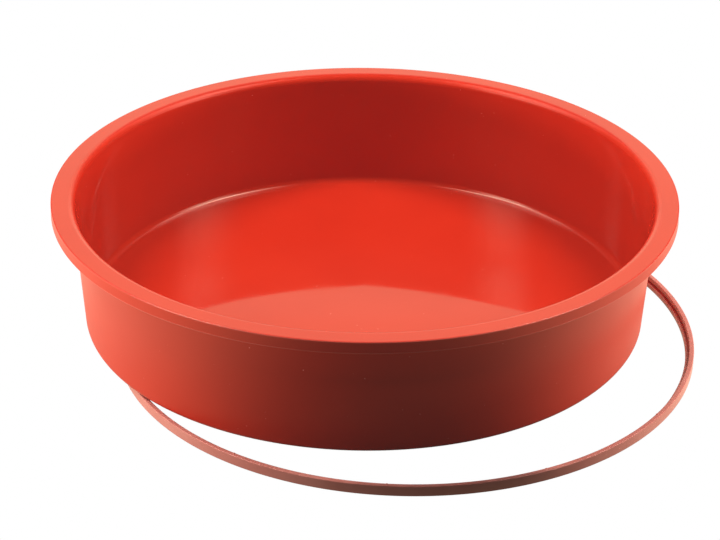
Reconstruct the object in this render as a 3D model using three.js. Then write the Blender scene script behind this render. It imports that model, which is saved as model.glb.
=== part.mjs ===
// A round silicone cake pan standing on its loose, rigid support ring.
// Millimetres, +Z up. The origin is the centre of the pan's baking floor, on the floor's upper face.
import * as THREE from 'three';

// Pan: one soft shell with a flat floor, a drafted wall and a rim that turns out and down.
const RIM_RADIUS = 140;
const PAN_HEIGHT = 59.5;
const FOOT_RADIUS = 127;
const WALL_DRAFT = THREE.MathUtils.degToRad(3.6);
const WALL_AT_FLOOR = 2;
const WALL_AT_RIM = 1.1;
const FLOOR_THICKNESS = 3;
const FLANGE_THICKNESS = 2;
const LIP_THICKNESS = 2;
const LIP_HEIGHT = 5.4;
const RIM_BEND = 3.5;
const FLOOR_FILLET = 3;
const FOOT_ROUND = 2.5;
const LIP_CORNER_ROUND = 0.8;
const LIP_EDGE_ROUND = 0.5;

// Support ring: a stepped section whose upright web is bored to take the pan's foot.
const FOOT_CLEARANCE = 0.2;
const RING_HEIGHT = 4.7;
const WEB_THICKNESS = 2.2;
const LEDGE_REACH = 1.5;
const LEDGE_HEIGHT = 2.1;
const GROOVE_DEPTH = 0.5;
const GROOVE_HEIGHT = 0.6;
const RING_EDGE_ROUND = 0.4;

// The ring lies off centre under the foot, and the foot stands on the web's top.
const RING_SHIFT_X = 19;
const RING_SHIFT_Y = -22;
const STANDING_GAP = 0.3;

const TURN_STEPS = 72;
const ARC_CHORD = 1.5;

const rimTop = PAN_HEIGHT - FLOOR_THICKNESS;
const footPlane = -FLOOR_THICKNESS;
const flangeUnderside = rimTop - FLANGE_THICKNESS;
const lipLowerEdge = rimTop - LIP_HEIGHT;
const lipInsideRadius = RIM_RADIUS - LIP_THICKNESS;

// Radius of the wall's outer and inner faces at a height. The wall thins from the floor to the rim.
const wallOutside = (z) => FOOT_RADIUS + (z - footPlane) * Math.tan(WALL_DRAFT);
const wallInside = (z) => wallOutside(z) - THREE.MathUtils.lerp(WALL_AT_FLOOR, WALL_AT_RIM, z / rimTop);

const ringBore = FOOT_RADIUS + FOOT_CLEARANCE;
const ringRadius = ringBore + WEB_THICKNESS;
const ledgeRadius = ringBore - LEDGE_REACH;

// Points of an outline given as [radius, height, corner round], with each round drawn as an arc.
function roundedOutline(corners, closed) {
  const points = [];
  corners.forEach(([x, y, round = 0], i) => {
    const corner = new THREE.Vector2(x, y);
    const isEnd = !closed && (i === 0 || i === corners.length - 1);
    if (isEnd || round === 0) {
      points.push(corner);
      return;
    }
    const before = new THREE.Vector2(...corners.at(i - 1)).sub(corner).normalize();
    const after = new THREE.Vector2(...corners[(i + 1) % corners.length]).sub(corner).normalize();
    const halfAngle = Math.acos(before.dot(after)) / 2;
    const middle = before.clone().add(after).normalize();
    const centre = corner.clone().addScaledVector(middle, round / Math.sin(halfAngle));
    const tangent = round / Math.tan(halfAngle);
    const start = corner.clone().addScaledVector(before, tangent).sub(centre);
    const end = corner.clone().addScaledVector(after, tangent).sub(centre);
    const sweep = Math.atan2(start.cross(end), start.dot(end));
    const steps = Math.ceil((round * Math.abs(sweep)) / ARC_CHORD);
    for (let step = 0; step <= steps; step++) {
      const spoke = start.clone().rotateAround(new THREE.Vector2(), (sweep * step) / steps);
      points.push(spoke.add(centre));
    }
  });
  if (closed) points.push(points[0].clone());
  return points;
}

// Revolves an outline round the Z axis.
function turned(corners, closed) {
  const geometry = new THREE.LatheGeometry(roundedOutline(corners, closed), TURN_STEPS);
  return geometry.rotateX(Math.PI / 2);
}

function makePan() {
  const outline = [
    [0, footPlane],
    [FOOT_RADIUS, footPlane, FOOT_ROUND],
    [wallOutside(flangeUnderside), flangeUnderside, RIM_BEND - FLANGE_THICKNESS],
    [lipInsideRadius, flangeUnderside, LIP_CORNER_ROUND],
    [lipInsideRadius, lipLowerEdge, LIP_EDGE_ROUND],
    [RIM_RADIUS, lipLowerEdge, LIP_EDGE_ROUND],
    [RIM_RADIUS, rimTop, LIP_EDGE_ROUND],
    [wallInside(rimTop), rimTop, RIM_BEND],
    [wallInside(0), 0, FLOOR_FILLET],
    [0, 0],
  ];
  const silicone = new THREE.MeshStandardMaterial({ color: 0xd9301f, roughness: 0.25, metalness: 0 });
  const pan = new THREE.Mesh(turned(outline, false), silicone);
  pan.name = 'cake_pan';
  return pan;
}

function makeRing() {
  const grooveTop = LEDGE_HEIGHT + GROOVE_HEIGHT;
  const grooveRadius = ringBore + GROOVE_DEPTH;
  const outline = [
    [ledgeRadius, 0, RING_EDGE_ROUND],
    [ringRadius, 0, RING_EDGE_ROUND],
    [ringRadius, RING_HEIGHT, RING_EDGE_ROUND],
    [ringBore, RING_HEIGHT, RING_EDGE_ROUND],
    [ringBore, grooveTop],
    [grooveRadius, grooveTop],
    [grooveRadius, LEDGE_HEIGHT],
    [ledgeRadius, LEDGE_HEIGHT, RING_EDGE_ROUND],
  ];
  const nylon = new THREE.MeshStandardMaterial({ color: 0x8a4a3c, roughness: 0.45, metalness: 0 });
  const ring = new THREE.Mesh(turned(outline, true), nylon);
  ring.name = 'support_ring';
  return ring;
}

const ringSeat = new THREE.Group();
ringSeat.position.set(RING_SHIFT_X, RING_SHIFT_Y, footPlane - STANDING_GAP - RING_HEIGHT);
ringSeat.add(makeRing());

const cakePan = new THREE.Group();
cakePan.add(makePan(), ringSeat);

export default cakePan;
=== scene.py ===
# %% [markdown]
# # A round silicone cake pan and its support ring
# The real thing is two pieces. The pan is one soft moulding: a flat floor, a wall that leans out a
# little so that the cake comes free, and a rim that turns out and down to stiffen the mouth. The ring
# is a thin hoop of stiff nylon that lies loose under the foot and keeps the soft floor flat when the
# pan is carried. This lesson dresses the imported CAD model, so the first step is to load it as a frame.
# The pieces are sized in millimetres, and the stage round them in metres.

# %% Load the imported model
import math

import bmesh
import bpy
from mathutils import Matrix, Vector


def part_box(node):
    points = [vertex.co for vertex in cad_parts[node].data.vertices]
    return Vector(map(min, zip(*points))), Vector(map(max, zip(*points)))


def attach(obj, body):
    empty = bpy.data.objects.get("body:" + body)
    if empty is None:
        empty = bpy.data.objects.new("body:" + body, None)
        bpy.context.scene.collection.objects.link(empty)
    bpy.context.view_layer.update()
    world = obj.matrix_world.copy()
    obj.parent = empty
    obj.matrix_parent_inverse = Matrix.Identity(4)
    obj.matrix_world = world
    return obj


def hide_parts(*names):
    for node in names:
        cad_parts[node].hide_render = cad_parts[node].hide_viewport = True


MM = 0.001

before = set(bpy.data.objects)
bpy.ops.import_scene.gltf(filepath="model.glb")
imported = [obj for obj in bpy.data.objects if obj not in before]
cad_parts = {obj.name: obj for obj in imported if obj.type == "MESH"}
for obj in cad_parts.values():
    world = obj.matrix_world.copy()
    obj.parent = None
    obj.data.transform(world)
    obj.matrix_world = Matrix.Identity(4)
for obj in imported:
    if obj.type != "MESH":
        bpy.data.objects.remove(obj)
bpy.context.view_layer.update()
scene = bpy.context.scene

# %% [markdown]
# ## The camera
# A product photograph like this one is taken from a step away with a long lens, looking down into the
# pan. A camera can be set by eye, but round shapes hide small errors, so the lens, the place and the
# tilt were found by fitting the outlines of the rim, the foot, the floor's corner and the ring. The
# picture also leans by half a degree, so the camera rolls as much.

# %% Place the camera
LENS_MM = 110
SENSOR_WIDTH_MM = 36
CAMERA_PLACE_MM = (-1.89, -889.78, 484.12)
LOOK_DOWN_DEG = 27.811
ROLL_DEG = 0.525

camera_data = bpy.data.cameras.new("photo_camera")
camera_data.sensor_width = SENSOR_WIDTH_MM
camera_data.lens = LENS_MM
camera = bpy.data.objects.new("photo_camera", camera_data)
scene.collection.objects.link(camera)
tilt = Matrix.Rotation(math.radians(90 - LOOK_DOWN_DEG), 4, "X")
roll = Matrix.Rotation(math.radians(ROLL_DEG), 4, "Z")
camera.matrix_world = Matrix.Translation(Vector(CAMERA_PLACE_MM) * MM) @ tilt @ roll
scene.camera = camera
print("camera at", [round(v, 4) for v in camera.location])

# %% [markdown]
# ## Drawing a section
# Both pieces are round, so each is drawn as half a cross-section and turned about its own axis. A
# turned shape could also be pushed out of a cylinder, ring by ring, but a section shows the wall's
# thickness and every corner at once, and that is how the mould for such a pan is turned too. A plane
# is merged to one vertex, the vertex is pulled from corner to corner, and vertex bevels round them.

# %% Select by place, and draw a section
SAME_PLACE = 1e-6


def select_vertices(piece, wanted):
    """In edit mode, selects and counts the vertices whose place passes the test."""
    bpy.ops.mesh.select_mode(type="VERT")
    bpy.ops.mesh.select_all(action="DESELECT")
    mesh = bmesh.from_edit_mesh(piece.data)
    for vertex in mesh.verts:
        vertex.select = wanted(vertex.co)
    mesh.select_flush_mode()
    bmesh.update_edit_mesh(piece.data)
    return sum(vertex.select for vertex in mesh.verts)


def draw_section(name, corners, axis, closed):
    """Leaves a new object in edit mode: a wire through (radius, height, round) corners, in mm."""
    bpy.ops.object.select_all(action="DESELECT")
    bpy.ops.mesh.primitive_plane_add(size=MM)
    piece = bpy.context.object
    piece.name = piece.data.name = name
    bpy.ops.object.mode_set(mode="EDIT")
    bpy.ops.mesh.merge(type="CENTER")
    places = [axis + Vector((radius, 0, height)) * MM for radius, height, _ in corners]
    bpy.ops.transform.translate(value=places[0])
    for here, there in zip(places, places[1:]):
        bpy.ops.mesh.extrude_region_move(TRANSFORM_OT_translate={"value": there - here})
    if closed:
        ends = (places[0], places[-1])
        select_vertices(piece, lambda co: any((co - end).length < SAME_PLACE for end in ends))
        bpy.ops.mesh.edge_face_add()
    return piece, places


# %% Round the corners, turn the section and shade it
ARC_STEPS_PER_MM = 6
FEWEST_ARC_STEPS = 4
SHARP_DEG = 40
FLATS_WEIGHT = 90


def round_corners(piece, corners, places):
    """Bevels each corner so that its arc has the radius that the corner asks for."""
    count = len(corners)
    for i, (_, _, radius) in enumerate(corners):
        if radius == 0:
            continue
        before = (places[i - 1] - places[i]).normalized()
        after = (places[(i + 1) % count] - places[i]).normalized()
        half_angle = before.angle(after) / 2
        reach = radius / math.tan(half_angle)
        select_vertices(piece, lambda co: (co - places[i]).length < SAME_PLACE)
        bpy.ops.mesh.bevel(
            offset=reach * MM, offset_type="OFFSET", affect="VERTICES", profile=0.5,
            segments=max(FEWEST_ARC_STEPS, round(radius * ARC_STEPS_PER_MM)),
        )


def turn_section(piece, axis, steps):
    """Turns the wire once round the axis, closes the seam and the poles, and leaves edit mode."""
    bpy.ops.mesh.select_all(action="SELECT")
    bpy.ops.mesh.spin(steps=steps, angle=math.tau, center=axis, axis=(0, 0, 1))
    bpy.ops.mesh.select_all(action="SELECT")
    bpy.ops.mesh.remove_doubles(threshold=SAME_PLACE)
    bpy.ops.mesh.normals_make_consistent(inside=False)
    bpy.ops.object.mode_set(mode="OBJECT")


def finish_shading(piece):
    """Smooth faces whose flats stay flat: the larger face sets the normal along each bend."""
    bpy.ops.object.shade_smooth_by_angle(angle=math.radians(SHARP_DEG))
    even = piece.modifiers.new("even_normals", "WEIGHTED_NORMAL")
    even.keep_sharp = True
    even.weight = FLATS_WEIGHT
    bpy.ops.object.modifier_apply(modifier=even.name)


# %% [markdown]
# ## The pan
# The section runs from the axis under the floor, out to the foot, up the outside of the wall, under
# the rim and its turned-down lip, and back over the rim, down the inside and along the baking floor.
# The rim's radius, its height and the foot's plane come from the CAD node. The bend from the wall
# into the rim is generous, as soft silicone has to leave the mould, and the lip's own edges are tight.
# The mould's halves meet just over the lip's lower edge and leave a parting line. It could be left to
# the colour, but only a real step catches the light, so the section has one of 0.05 mm. The silicone's
# finish also paints a highlight along it.

# %% The pan's sizes
PAN_AXIS = Vector((0, 0, 0))
PAN_STEPS = 256
FOOT_RADIUS = 127.0
FOOT_ROUND = 2.5
WALL_DRAFT = math.tan(math.radians(3.6))
WALL_AT_FLOOR = 2.0
WALL_AT_RIM = 1.1
FLOOR_FILLET = 3.0
FLANGE = 2.0
RIM_BEND = 3.5
RIM_EDGE_ROUND = 0.5
LIP = 2.0
LIP_HEIGHT = 5.4
LIP_ROOT_ROUND = 0.8
LIP_INNER_ROUND = 0.5
LIP_OUTER_ROUND = 0.4
FLASH = 0.05
FLASH_HEIGHT = 0.55

pan_low, pan_high = (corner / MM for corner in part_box("cake_pan"))
rim_radius, rim_top, foot_plane = pan_high.x, pan_high.z, pan_low.z
under_flange = rim_top - FLANGE
lip_edge = rim_top - LIP_HEIGHT
seam_top = lip_edge + FLASH_HEIGHT
print("rim radius", round(rim_radius, 2), "mm, from", round(foot_plane, 2), "to", round(rim_top, 2))

# %% Draw and turn the pan
FLAT_RADIUS = 114
LOOP_STEP = 6


def wall_outside(height):
    """The radius of the wall's outer face at a height."""
    return FOOT_RADIUS + (height - foot_plane) * WALL_DRAFT


def wall_inside(height):
    """The radius of the wall's inner face. The wall thins evenly from the floor to the rim."""
    return wall_outside(height) - WALL_AT_FLOOR - (WALL_AT_RIM - WALL_AT_FLOOR) * height / rim_top


pan_corners = [
    (0, foot_plane, 0),
    (FOOT_RADIUS, foot_plane, FOOT_ROUND),
    (wall_outside(under_flange), under_flange, RIM_BEND - FLANGE),
    (rim_radius - LIP, under_flange, LIP_ROOT_ROUND),
    (rim_radius - LIP, lip_edge, LIP_INNER_ROUND),
    (rim_radius, lip_edge, LIP_OUTER_ROUND),
    (rim_radius, seam_top, 0),
    (rim_radius - FLASH, seam_top + FLASH, 0),
    (rim_radius - FLASH, rim_top, RIM_EDGE_ROUND),
    (wall_inside(rim_top), rim_top, RIM_BEND),
    (wall_inside(0), 0, FLOOR_FILLET),
    *((radius, 0, 0) for radius in range(FLAT_RADIUS, -1, -LOOP_STEP)),
]
pan, pan_places = draw_section("silicone_pan", pan_corners, PAN_AXIS, closed=False)
round_corners(pan, pan_corners, pan_places)
turn_section(pan, PAN_AXIS, PAN_STEPS)
print("pan:", len(pan.data.vertices), "vertices,", len(pan.data.polygons), "faces")

# %% [markdown]
# ## The floor's swell
# A soft floor is never quite flat. The height can't be seen from here, but the floor is a mirror for
# the pale wall behind the pan, and the swell bends that mirror image into a wide curve. A bump in the
# finish could bend it too, but the swell is a real shape, so a proportional edit lifts a strip of the
# floor near the front and lets the lift fade out round it.

# %% Swell the floor
FLOOR_SWELL = 1.7
SWELL_REACH = 75
SWELL_MIDDLE = 8
SWELL_HALF_WIDTH = 80
SWELL_FRONT = -85
SWELL_BACK = -40
FLOOR_MARGIN = 0.01


def in_swell(co):
    """Whether a vertex lies in the strip of the floor that rises by the whole swell."""
    x, y, z = co / MM
    on_floor = abs(z) < FLOOR_MARGIN
    return on_floor and abs(x - SWELL_MIDDLE) < SWELL_HALF_WIDTH and SWELL_FRONT < y < SWELL_BACK


bpy.ops.object.mode_set(mode="EDIT")
risen = select_vertices(pan, in_swell)
bpy.ops.transform.translate(
    value=(0, 0, FLOOR_SWELL * MM), use_proportional_edit=True, use_proportional_connected=True,
    proportional_edit_falloff="SMOOTH", proportional_size=SWELL_REACH * MM,
)
bpy.ops.object.mode_set(mode="OBJECT")
finish_shading(pan)
print("floor swell:", risen, "vertices risen by", FLOOR_SWELL, "mm")

# %% [markdown]
# ## The support ring
# The hoop's section is a small step: an upright web with a ledge inside it, and a fine groove where
# the two meet. It lies off centre under the pan, as it was laid down, so it is turned about its own
# axis, which is the middle of the CAD node's box. Unlike the pan's section, this one is a closed loop.

# %% Draw and turn the ring
RING_STEPS = 288
WEB = 2.2
LEDGE_REACH = 1.5
LEDGE_HEIGHT = 2.1
GROOVE_DEPTH = 0.5
GROOVE_HEIGHT = 0.6
RING_EDGE_ROUND = 0.4

ring_low, ring_high = (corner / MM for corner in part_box("support_ring"))
ring_axis = Vector(((ring_low.x + ring_high.x) / 2, (ring_low.y + ring_high.y) / 2, 0)) * MM
ring_radius = (ring_high.x - ring_low.x) / 2
ring_bore = ring_radius - WEB
ledge_top = ring_low.z + LEDGE_HEIGHT

ring_corners = [
    (ring_bore - LEDGE_REACH, ring_low.z, RING_EDGE_ROUND),
    (ring_radius, ring_low.z, RING_EDGE_ROUND),
    (ring_radius, ring_high.z, RING_EDGE_ROUND),
    (ring_bore, ring_high.z, RING_EDGE_ROUND),
    (ring_bore, ledge_top + GROOVE_HEIGHT, 0),
    (ring_bore + GROOVE_DEPTH, ledge_top + GROOVE_HEIGHT, 0),
    (ring_bore + GROOVE_DEPTH, ledge_top, 0),
    (ring_bore - LEDGE_REACH, ledge_top, RING_EDGE_ROUND),
]
ring, ring_places = draw_section("nylon_ring", ring_corners, ring_axis, closed=True)
round_corners(ring, ring_corners, ring_places)
turn_section(ring, ring_axis, RING_STEPS)
print("ring:", len(ring.data.vertices), "vertices, axis", [round(v / MM, 2) for v in ring_axis])

# %% [markdown]
# ## The pips
# Small round pips stand on the web's top at even steps. Each is a ball that is sunk in the web until
# only a cap shows, low enough to stay clear of the pan's foot. One ball is added to the ring's mesh
# and spun round its axis as copies, which is quicker than placing twelve.

# %% Stand the pips on the ring
PIPS = 12
FIRST_PIP_DEG = -4.2
PIP_RADIUS = 0.85
PIP_INSET = 0.6
PIP_HEIGHT = 0.22
PIP_SEGMENTS = 16
PIP_RINGS = 10

bearing = math.radians(FIRST_PIP_DEG)
outwards = Vector((math.cos(bearing), math.sin(bearing), 0))
pip_place = ring_axis + outwards * (ring_bore + PIP_INSET) * MM
pip_place.z = (ring_high.z - PIP_RADIUS + PIP_HEIGHT) * MM

bpy.ops.object.mode_set(mode="EDIT")
bpy.ops.mesh.select_all(action="DESELECT")
bpy.ops.mesh.primitive_uv_sphere_add(
    segments=PIP_SEGMENTS, ring_count=PIP_RINGS, radius=PIP_RADIUS * MM, location=pip_place
)
bpy.ops.mesh.spin(
    steps=PIPS - 1, dupli=True, angle=math.tau * (PIPS - 1) / PIPS, center=ring_axis, axis=(0, 0, 1)
)
bpy.ops.object.mode_set(mode="OBJECT")
finish_shading(ring)
print("ring with", PIPS, "pips:", len(ring.data.vertices), "vertices")

# %% [markdown]
# ## Sums on sockets
# A procedural finish is a graph of nodes, but a line of maths is easier to read than a graph. This
# small class holds one output socket: adding, subtracting and multiplying wires makes the Math nodes,
# and its node method adds any other node from its type, its settings and what goes into its sockets.

# %% A socket that can be used in sums
class Wire:
    """One output of a node. Sums of wires and numbers add Math nodes to the same material."""

    def __init__(self, socket):
        self.socket = socket
        self.tree = socket.id_data

    def node(self, kind, settings, sockets, output=0):
        """A new node from its type, its settings and the values or wires of its sockets."""
        made = self.tree.nodes.new(kind)
        for name, value in settings.items():
            setattr(made, name, value)
        for name, value in sockets.items():
            if isinstance(value, Wire):
                self.tree.links.new(value.socket, made.inputs[name])
            else:
                made.inputs[name].default_value = value
        return Wire(made.outputs[output])

    def maths(self, operation, *terms):
        return self.node("ShaderNodeMath", {"operation": operation}, dict(enumerate(terms)))

    def __add__(self, other):
        return self.maths("ADD", self, other)

    def __sub__(self, other):
        return self.maths("SUBTRACT", self, other)

    def __mul__(self, other):
        return self.maths("MULTIPLY", self, other)

    def __rsub__(self, other):
        return self.maths("SUBTRACT", other, self)

    __radd__ = __add__
    __rmul__ = __mul__

    def absolute(self):
        return self.maths("ABSOLUTE", self)

    def length_with(self, other):
        """How far a place is from where this wire and the other are both 0."""
        return self.maths("SQRT", self * self + other * other)

    def xyz(self):
        """The three coordinates of this wire's places."""
        split = self.node("ShaderNodeSeparateXYZ", {}, {0: self}).socket.node
        return [Wire(socket) for socket in split.outputs]

    def step(self, low, high):
        """0 below low, 1 above high, and a smooth rise between."""
        settings = {"interpolation_type": "SMOOTHSTEP"}
        return self.node("ShaderNodeMapRange", settings, {0: self, 1: low, 2: high})

    def mix(self, low, high):
        """The colour low where this wire is 0, and high where it is 1."""
        settings = {"data_type": "RGBA"}
        return self.node("ShaderNodeMix", settings, {0: self, 6: low, 7: high}, output=2)

    def noise(self, per_metre, detail, roughness=0.5):
        """Cloudy values about 0.5 on this wire's places, with so many clouds to the metre."""
        sockets = {"Vector": self, "Scale": per_metre, "Detail": detail, "Roughness": roughness}
        return self.node("ShaderNodeTexNoise", {}, sockets)

    def relief(self, strength, height):
        """The normals of a surface whose height follows this wire."""
        sockets = {"Height": self, "Strength": strength, "Distance": height}
        return self.node("ShaderNodeBump", {}, sockets)


# %% Start a finish, and plug wires into it
def new_finish(name, constants):
    """A Principled material with these values: (material, shader, wire of the places in metres)."""
    finish = bpy.data.materials.new(name)
    finish.use_nodes = True
    shader = finish.node_tree.nodes["Principled BSDF"]
    for socket, value in constants.items():
        shader.inputs[socket].default_value = value
    places = finish.node_tree.nodes.new("ShaderNodeTexCoord").outputs["Object"]
    return finish, shader, Wire(places)


def plug(wire, shader, socket):
    wire.tree.links.new(wire.socket, shader.inputs[socket])


# %% [markdown]
# ## Silicone
# Silicone for baking is a glossy, very saturated red-orange. Inside, its gloss is that of the polished
# mould, a little hazier where it was handled or washed. Outside, below the rim, it is duller. Its
# colour hardly changes, and a few specks of dust stick to it. Along the parting line and the rim's
# outer edge the colour is painted paler: painted highlights where those edges catch the light. A
# roughness painted by hand would need a picture, so masks from the section's own sizes say where
# each part is, and a slow bump adds the waves that every soft skin has.

# %% Where the silicone is outside, on the parting line and on the rim's edge
WARM_GLOSS = (1.0, 0.98, 0.72, 1)
SILICONE_IOR = 1.41
HAZE_COAT = {"Coat Weight": 0.25, "Coat Roughness": 0.4, "Coat IOR": 1.4}
SOFT_EDGE = 0.1
WALL_SOFTNESS = 0.5
LIP_SKIN = 0.3
EDGE_BAND = 0.6


def rise(wire, low, high):
    """A step between two places that are given in mm."""
    return wire.step(low * MM, high * MM)


gloss = {"IOR": SILICONE_IOR, "Specular Tint": WARM_GLOSS, **HAZE_COAT}
silicone, shader, place = new_finish("red_silicone", gloss)
x, y, z = place.xyz()
from_axis = x.length_with(y)
wall_middle = (FOOT_RADIUS - WALL_AT_FLOOR / 2 - foot_plane * WALL_DRAFT) * MM + WALL_DRAFT * z
below_rim = 1 - rise(z, rim_top - EDGE_BAND, rim_top - 2 * SOFT_EDGE)
outside = rise(from_axis - wall_middle, -WALL_SOFTNESS, WALL_SOFTNESS) * below_rim
lip_face = rise(from_axis, rim_radius - LIP_SKIN, rim_radius - LIP_SKIN + SOFT_EDGE)
# Painted highlight: the parting line is made paler where the lip's lower edge catches the light.
seam = lip_face * (1 - rise(z, seam_top - SOFT_EDGE, seam_top + SOFT_EDGE))
# Painted highlight: the rim's outer edge is made paler where it catches the light.
rim_edge = lip_face * rise(z, rim_top - EDGE_BAND, rim_top - EDGE_BAND + 2 * SOFT_EDGE)
print("silicone masks:", len(silicone.node_tree.nodes), "nodes")

# %% The silicone's colour, gloss and waves
SILICONE_RED = (0.48, 0.0188, 0.0050, 1)
SILICONE_DEEP = (0.448, 0.0158, 0.0042, 1)
# The colour of real dust specks, and of the painted highlights on the parting line and the rim's edge.
SILICONE_DUST_AND_HIGHLIGHT = (0.85, 0.30, 0.24, 1)
CLOUDS_PER_M = 14
CLOUD_STEP = (0.3, 0.7)
HAZES_PER_M = 45
HAZE_STEP = (0.35, 0.75)
SPECKS_PER_M = 900
SPECK_STEP = (0.80, 0.84)
WAVES_PER_M = 9
SILICONE_GRAIN_PER_M = 1400
# How far the painted highlights on the parting line and the rim's edge pale the red.
SEAM_PAINTED_HIGHLIGHT = 0.16
RIM_EDGE_PAINTED_HIGHLIGHT = 0.18
POLISH = 0.03
HAZE_ROUGHNESS = 0.03
SPECK_ROUGHNESS = 0.25
OUTSIDE_ROUGHNESS = 0.35
WAVE_STRENGTH = 0.2
WAVE_HEIGHT = 1.2
GRAIN_SHARE = 0.004

clouds = place.noise(CLOUDS_PER_M, detail=3).step(*CLOUD_STEP)
haze = place.noise(HAZES_PER_M, detail=4, roughness=0.6).step(*HAZE_STEP)
specks = place.noise(SPECKS_PER_M, detail=1).step(*SPECK_STEP)
waves = place.noise(WAVES_PER_M, detail=1)
grain = place.noise(SILICONE_GRAIN_PER_M, detail=2)

red = clouds.mix(SILICONE_DEEP, SILICONE_RED)
# Pale towards one colour: real dust specks, and painted highlights on the parting line and rim edge.
pale = specks + SEAM_PAINTED_HIGHLIGHT * seam + RIM_EDGE_PAINTED_HIGHLIGHT * rim_edge
plug(pale.mix(red, SILICONE_DUST_AND_HIGHLIGHT), shader, "Base Color")
dull = HAZE_ROUGHNESS * haze + SPECK_ROUGHNESS * specks + OUTSIDE_ROUGHNESS * outside
plug(POLISH + dull, shader, "Roughness")
plug((waves + GRAIN_SHARE * grain).relief(WAVE_STRENGTH, WAVE_HEIGHT * MM), shader, "Normal")
pan.data.materials.append(silicone)
print("silicone:", len(silicone.node_tree.nodes), "nodes")

# %% [markdown]
# ## Nylon
# The ring is moulded in brown nylon: duller and rougher than the pan, with the fine grain of an eroded
# mould, and slightly paler in streaks where the melt flowed. One noise for the flow and one for the
# grain are enough, because the hoop is only a few millimetres wide.

# %% The nylon finish
NYLON_IOR = 1.53
NYLON_GLOSS = 0.2
NYLON_BROWN = (0.47, 0.148, 0.112, 1)
NYLON_PALE = (0.51, 0.178, 0.137, 1)
FLOWS_PER_M = 60
FLOW_STEP = (0.35, 0.75)
NYLON_GRAIN_PER_M = 2600
NYLON_ROUGHNESS = 0.26
FLOW_ROUGHNESS = 0.12
GRAIN_ROUGHNESS = 0.04
GRAIN_STRENGTH = 0.02
GRAIN_HEIGHT = 0.1

nylon, shader, place = new_finish("brown_nylon", {"IOR": NYLON_IOR, "Specular IOR Level": NYLON_GLOSS})
flow = place.noise(FLOWS_PER_M, detail=4, roughness=0.6)
grain = place.noise(NYLON_GRAIN_PER_M, detail=2)
plug(flow.step(*FLOW_STEP).mix(NYLON_BROWN, NYLON_PALE), shader, "Base Color")
plug(NYLON_ROUGHNESS + FLOW_ROUGHNESS * flow + GRAIN_ROUGHNESS * grain, shader, "Roughness")
plug(grain.relief(GRAIN_STRENGTH, GRAIN_HEIGHT * MM), shader, "Normal")
ring.data.materials.append(nylon)
print("nylon:", len(nylon.node_tree.nodes), "nodes")

# %% [markdown]
# ## The ground
# The photograph is a bright cut-out on a white ground without shadows. A white floor in the light
# would show shadows, so the ground glows by itself, only the camera sees it, and it lights nothing.

# %% Helpers for sheets that glow
BLACK = (0, 0, 0, 1)
WHITE = (1, 1, 1, 1)


def new_sheet(name, width, height, place):
    """A flat sheet of that size, with its middle at a 4 by 4 place."""
    bpy.ops.object.select_all(action="DESELECT")
    bpy.ops.mesh.primitive_plane_add(size=1)
    sheet = bpy.context.object
    sheet.name = name
    sheet.scale = (width, height, 1)
    bpy.ops.object.transform_apply(location=False, rotation=False)
    sheet.matrix_world = place
    return sheet


def hide_from(sheet, *rays):
    """Keeps a sheet out of sight of camera, diffuse, glossy or shadow rays."""
    for ray in rays:
        setattr(sheet, "visible_" + ray, False)


def new_glow(name, strength, sampling):
    """A finish that is light alone: (material, shader, wire of the places in metres)."""
    constants = {"Base Color": BLACK, "Specular IOR Level": 0}
    light = {"Emission Color": WHITE, "Emission Strength": strength}
    glow, shader, place = new_finish(name, constants | light)
    glow.cycles.emission_sampling = sampling
    return glow, shader, place


# %% The white ground
GROUND_WIDTH = 14.0
GROUND_GLOW = 1.0

ground_plane = ring_low.z * MM
ground = new_sheet("ground", GROUND_WIDTH, GROUND_WIDTH, Matrix.Translation((0, 0, ground_plane)))
hide_from(ground, "diffuse", "glossy", "shadow")
paper, _, _ = new_glow("white_paper", GROUND_GLOW, "NONE")
ground.data.materials.append(paper)
print("ground at", round(ground_plane, 4))

# %% [markdown]
# ## Light from the table
# A real table throws light back up, and the wall's sides show it. The front of the wall is dark in the
# photograph, so the table there was in shade. A second sheet, just under the ground and unseen by the
# camera, gives that light. It is warm, dims to almost nothing in front of the pan, is dimmer under the
# foot and behind the pan, and has a faint band where the ring stands. It is cut into many small faces,
# so that the renderer can favour those near the pan.

# %% The table's glow
TABLE_WIDTH = 2.4
TABLE_CELLS = 60
TABLE_DROP = 0.001
TABLE_GLOW = 1.36
SHADE_X = 0.022
SHADE_Y = -0.19
SHADE_EDGE = (0.06, 0.22)
SHADE_GLOW = 0.08
OPEN_GLOW = 0.70
FOOT_EDGE = (FOOT_RADIUS * MM, 0.175)
FOOT_GLOW = 0.55
BACK_EDGE = (0.08, 0.25)
BACK_LOSS = 0.5
RING_GLOW = 0.11
RING_GLOW_START = (0.128, 0.130)
RING_GLOW_END = (0.131, 0.150)

bpy.ops.object.select_all(action="DESELECT")
bpy.ops.mesh.primitive_grid_add(
    x_subdivisions=TABLE_CELLS, y_subdivisions=TABLE_CELLS, size=TABLE_WIDTH,
    location=(0, 0, ground_plane - TABLE_DROP),
)
table = bpy.context.object
table.name = "table_glow"
bpy.ops.object.transform_apply()
hide_from(table, "camera", "shadow")
glow, shader, place = new_glow("table_glow", TABLE_GLOW, "FRONT")
x, y, _ = place.xyz()
behind_shade = y.maths("MAXIMUM", y - SHADE_Y, 0.0)
from_shade = (x - SHADE_X).length_with(behind_shade)
from_foot = x.length_with(y)
from_ring = (x - ring_axis.x).length_with(y - ring_axis.y)
light = SHADE_GLOW + OPEN_GLOW * from_shade.step(*SHADE_EDGE)
light = light * (FOOT_GLOW + (1 - FOOT_GLOW) * from_foot.step(*FOOT_EDGE))
light = light * (1 - BACK_LOSS * y.step(*BACK_EDGE))
ring_band = from_ring.step(*RING_GLOW_START) * (1 - from_ring.step(*RING_GLOW_END))
plug((light + RING_GLOW * ring_band).mix(BLACK, WARM_GLOSS), shader, "Emission Color")
table.data.materials.append(glow)
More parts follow.
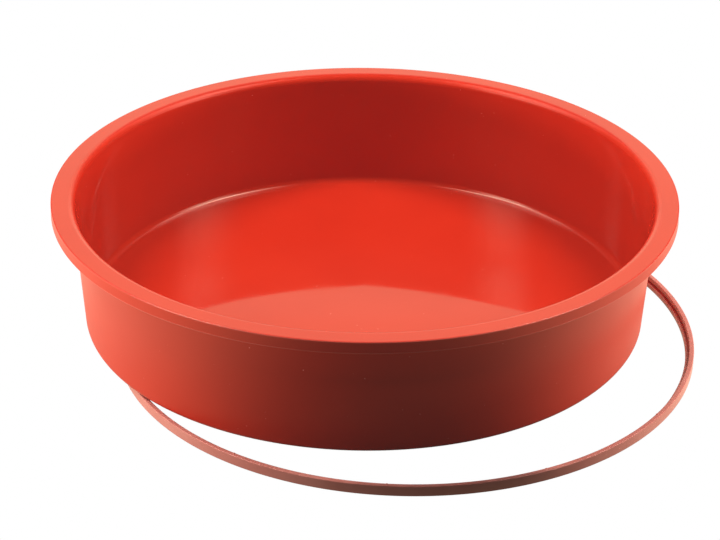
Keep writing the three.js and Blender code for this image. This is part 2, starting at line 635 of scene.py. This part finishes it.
print("table glow:", len(table.data.polygons), "faces")

# %% [markdown]
# ## Sky and veil
# A bright room fills even the darkest corners a little, so the sky has a dim, even light. To the camera
# it is as white as the ground. The glare of so much white also lifts the darkest tones in a real lens.
# A thin, faintly glowing veil in front of the camera does the same, and nothing else sees it.

# %% Sky and veil
FILL = 0.03
GLARE = 0.008
VEIL_WIDTH = 0.2
VEIL_DISTANCE = 0.3
VEIL_GLOW = 1.0

sky = bpy.data.worlds.new("dim_sky")
scene.world = sky
sky.use_nodes = True
sky_light = sky.node_tree.nodes["Background"]
camera_ray = Wire(sky.node_tree.nodes.new("ShaderNodeLightPath").outputs["Is Camera Ray"])
plug(FILL + (1 - FILL) * camera_ray, sky_light, "Strength")
sky_light.inputs["Color"].default_value = WHITE

before_lens = camera.matrix_world @ Matrix.Translation((0, 0, -VEIL_DISTANCE))
veil = new_sheet("lens_veil", VEIL_WIDTH, VEIL_WIDTH, before_lens)
hide_from(veil, "diffuse", "glossy", "shadow")
mist, shader, _ = new_glow("lens_veil", VEIL_GLOW, "NONE")
shader.inputs["Alpha"].default_value = GLARE
veil.data.materials.append(mist)
print("sky fill", FILL, "and glare", GLARE)

# %% [markdown]
# ## Cards for the gloss
# What shines in the floor, the corner and the rim is the mirror image of the lamps, and its size, place
# and softness say a lot about the surface. In a studio, one soft box both lights and gleams. Here the
# two are apart: cards that fade to their edges show only in the gloss, so that each gleam can be as
# soft as in the photograph, and lamps, in the next step, light the pan and don't show.

# %% A card that only the gloss shows
PAN_MIDDLE = (0, 0, 0)


def facing(place, aim, axis):
    """The 4 by 4 place of something that points this axis of its own from a place to an aim."""
    turn = (Vector(aim) - Vector(place)).to_track_quat(axis, "Y")
    return Matrix.Translation(place) @ turn.to_matrix().to_4x4()


def soft_card(name, place, width, height, radiance):
    """A glowing card that only shows in the gloss, bright in its middle and fading to its edges."""
    card = new_sheet(name, width, height, facing(place, PAN_MIDDLE, "Z"))
    hide_from(card, "camera", "diffuse", "shadow")
    finish, shader, spot = new_glow(name, radiance, "NONE")
    across, along, _ = spot.xyz()
    fade_across = 1 - across.absolute().step(0, width / 2)
    fade_along = 1 - along.absolute().step(0, height / 2)
    plug((fade_across * fade_along).mix(BLACK, WHITE), shader, "Emission Color")
    card.data.materials.append(finish)
    print("card", name, "of radiance", radiance)


# %% Set up the cards
LEFT_KEY_PLACE = (-0.75, 0.05, 1.2)
RIGHT_KEY_PLACE = (0.735, 0.12, 1.2)

soft_card("left_card", (-1.04, -0.42, 0.73), width=0.85, height=0.5, radiance=14.0)
soft_card("right_card", (1.11, -0.18, 0.73), width=0.95, height=0.5, radiance=9.0)
soft_card("back_ceiling", (0, 1.7, 2.15), width=5.0, height=2.6, radiance=0.8)
soft_card("left_gleam", LEFT_KEY_PLACE, width=0.7, height=1.0, radiance=20.0)
soft_card("right_gleam", RIGHT_KEY_PLACE, width=0.7, height=1.0, radiance=20.0)
soft_card("left_sheen", (-0.9, 0.45, 1.4), width=0.9, height=0.9, radiance=8.0)
soft_card("right_sheen", (0.9, 0.5, 1.4), width=0.9, height=0.9, radiance=8.0)

# %% [markdown]
# ## Lamps
# Two narrow keys, high at the sides, light the floor and the rim and give the corner behind the floor
# its crisp shade. Low lamps at both sides make the wall's bright limbs, dimmer ones half-way up fill
# between, and a faint one keeps the front from going black. Only the warm wall behind the pan shows in
# the gloss: it is the pale field in the front of the floor.

# %% A lamp that is a flat sheet
def soft_box(name, place, aim, width, height, radiance, tint=WHITE, mirrored=False):
    """A lamp sheet at a place, facing the aim, of that radiance, shown in the gloss if mirrored."""
    lamp = bpy.data.lights.new(name, "AREA")
    lamp.shape = "RECTANGLE"
    lamp.size, lamp.size_y = width, height
    lamp.energy = radiance * math.pi * width * height
    lamp.color = tint[:3]
    box = bpy.data.objects.new(name, lamp)
    scene.collection.objects.link(box)
    box.matrix_world = facing(place, aim, "-Z")
    box.visible_camera = False
    box.visible_glossy = mirrored


# %% Set up the lamps
WALL_AIM = (0, 0, 0.02)
MIDDLE_AIM = (0, 0, 0.03)
BACK_WALL_PLACE = (0, 1.6, 0.63)
BACK_WALL_AIM = (0, 1.0, 0.63)

soft_box("left_key", LEFT_KEY_PLACE, PAN_MIDDLE, width=0.16, height=0.6, radiance=57.2)
soft_box("right_key", RIGHT_KEY_PLACE, PAN_MIDDLE, width=0.16, height=0.6, radiance=57.2)
soft_box("left_low", (-1.0, 0.0, 0.07), WALL_AIM, width=0.6, height=0.14, radiance=47.0)
soft_box("right_low", (0.93, 0.36, 0.07), WALL_AIM, width=0.6, height=0.14, radiance=53.0)
soft_box("left_middle", (-0.98, 0.03, 0.72), MIDDLE_AIM, width=0.4, height=0.4, radiance=6.8)
soft_box("right_middle", (0.98, 0.03, 0.72), MIDDLE_AIM, width=0.4, height=0.4, radiance=6.8)
soft_box("front_low", (0, -1.3, 0.02), WALL_AIM, width=0.6, height=0.14, radiance=1.6)
soft_box(
    "back_wall", BACK_WALL_PLACE, BACK_WALL_AIM, width=1.2, height=1.28, radiance=1.08,
    tint=WARM_GLOSS, mirrored=True,
)
print("lamps:", [lamp.name for lamp in bpy.data.lights])

# %% [markdown]
# ## A flag over the ring
# The ring is bright at its ends and dark at the front. In a studio a flag, a sheet of gauze on a stand,
# takes light from one small place without touching the rest, which a change to a lamp can't. This one
# hangs over the ring's front and lets a little light through. Only its shadow shows.

# %% The flag and the picture's colours
FLAG_WIDTH = 0.21
FLAG_DEPTH = 0.042
FLAG_PLACE = (0, -0.1615, 0.030)
FLAG_TURN_DEG = 6
FLAG_DENSITY = 0.84

turn = Matrix.Rotation(math.radians(FLAG_TURN_DEG), 4, "Z")
flag = new_sheet("ring_flag", FLAG_WIDTH, FLAG_DEPTH, turn @ Matrix.Translation(FLAG_PLACE))
hide_from(flag, "camera", "diffuse", "glossy")
gauze, _, _ = new_finish("flag_gauze", {"Alpha": FLAG_DENSITY})
flag.data.materials.append(gauze)

scene.view_settings.view_transform = "Standard"
scene.view_settings.look = "None"
print("flag at", [round(v, 3) for v in flag.matrix_world.translation])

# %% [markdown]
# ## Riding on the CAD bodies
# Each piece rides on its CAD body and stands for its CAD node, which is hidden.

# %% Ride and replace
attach(pan, "pan")
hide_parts("cake_pan")
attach(ring, "ring")
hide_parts("support_ring")
